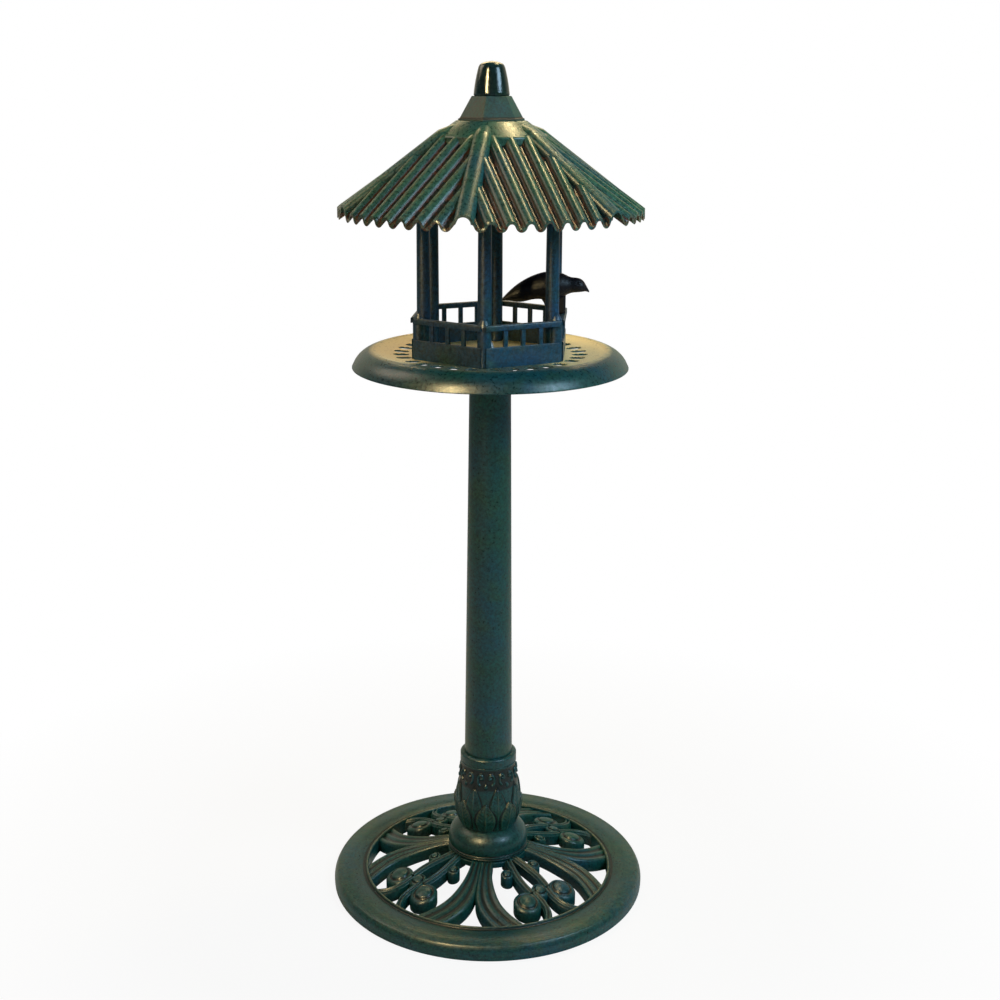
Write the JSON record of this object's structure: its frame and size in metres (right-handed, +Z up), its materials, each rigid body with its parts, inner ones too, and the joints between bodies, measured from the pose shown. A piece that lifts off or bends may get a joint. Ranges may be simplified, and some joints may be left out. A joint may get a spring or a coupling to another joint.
{
  "type": "bird table",
  "caption": "Free-standing bird table: openwork round base, tapered column with leaf collar, round tray, hexagonal pavilion with rail fence and round ribbed roof, and a bird on the rail.",
  "frame": {"origin": "centre of the face that the base stands on", "axes": "+Z up along the column; -Y towards the front post; +X towards the rail with the bird"},
  "size_m": [0.5072, 0.5072, 1.3],
  "materials": {
    "verdigris_plastic": "satin moulded, dark green-teal verdigris with mottled grain",
    "roof_plastic": "satin moulded, dark green with rust in the valleys and yellow-green on the crests",
    "finial_plastic": "glossy dark green",
    "bird_plastic": "satin black with a violet-blue sheen",
    "zinc_plated_steel": "bright zinc plated"
  },
  "bodies": {
    "stand": {"base_scrollwork": "verdigris_plastic", "bell_foot": "verdigris_plastic", "leaf_collar": "verdigris_plastic", "column": "verdigris_plastic", "column_top_bush": "verdigris_plastic", "tray": "verdigris_plastic", "post_back_right": "verdigris_plastic", "post_back": "verdigris_plastic", "post_back_left": "verdigris_plastic", "post_front_left": "verdigris_plastic", "post_front": "verdigris_plastic", "post_front_right": "verdigris_plastic", "post_screws": "zinc_plated_steel", "panel_right": "verdigris_plastic", "panel_back_right": "verdigris_plastic", "panel_back_left": "verdigris_plastic", "panel_left": "verdigris_plastic", "panel_front_left": "verdigris_plastic", "panel_front_right": "verdigris_plastic", "top_ring": "verdigris_plastic", "tie_rod": "zinc_plated_steel", "hub_washer": "zinc_plated_steel", "tray_washer": "zinc_plated_steel", "hub_nut": "zinc_plated_steel", "tray_dome_nut": "zinc_plated_steel", "bird_pin": "zinc_plated_steel"},
    "roof_cap": {"roof": "roof_plastic", "roof_neck": "verdigris_plastic", "finial": "finial_plastic", "finial_washer": "zinc_plated_steel", "finial_screw": "zinc_plated_steel"},
    "bird": {"bird": "bird_plastic"}
  },
  "joints": [
    {"name": "roof_lift", "type": "slide", "parent": "stand", "child": "roof_cap", "axis": [0, 0, 1], "range_m": [0, 0.06]},
    {"name": "bird_turn", "type": "hinge", "parent": "stand", "child": "bird", "pos_m": [0.10833, 0, 0.941], "axis": [0, 0, 1], "range_deg": [-40, 40]}
  ]
}
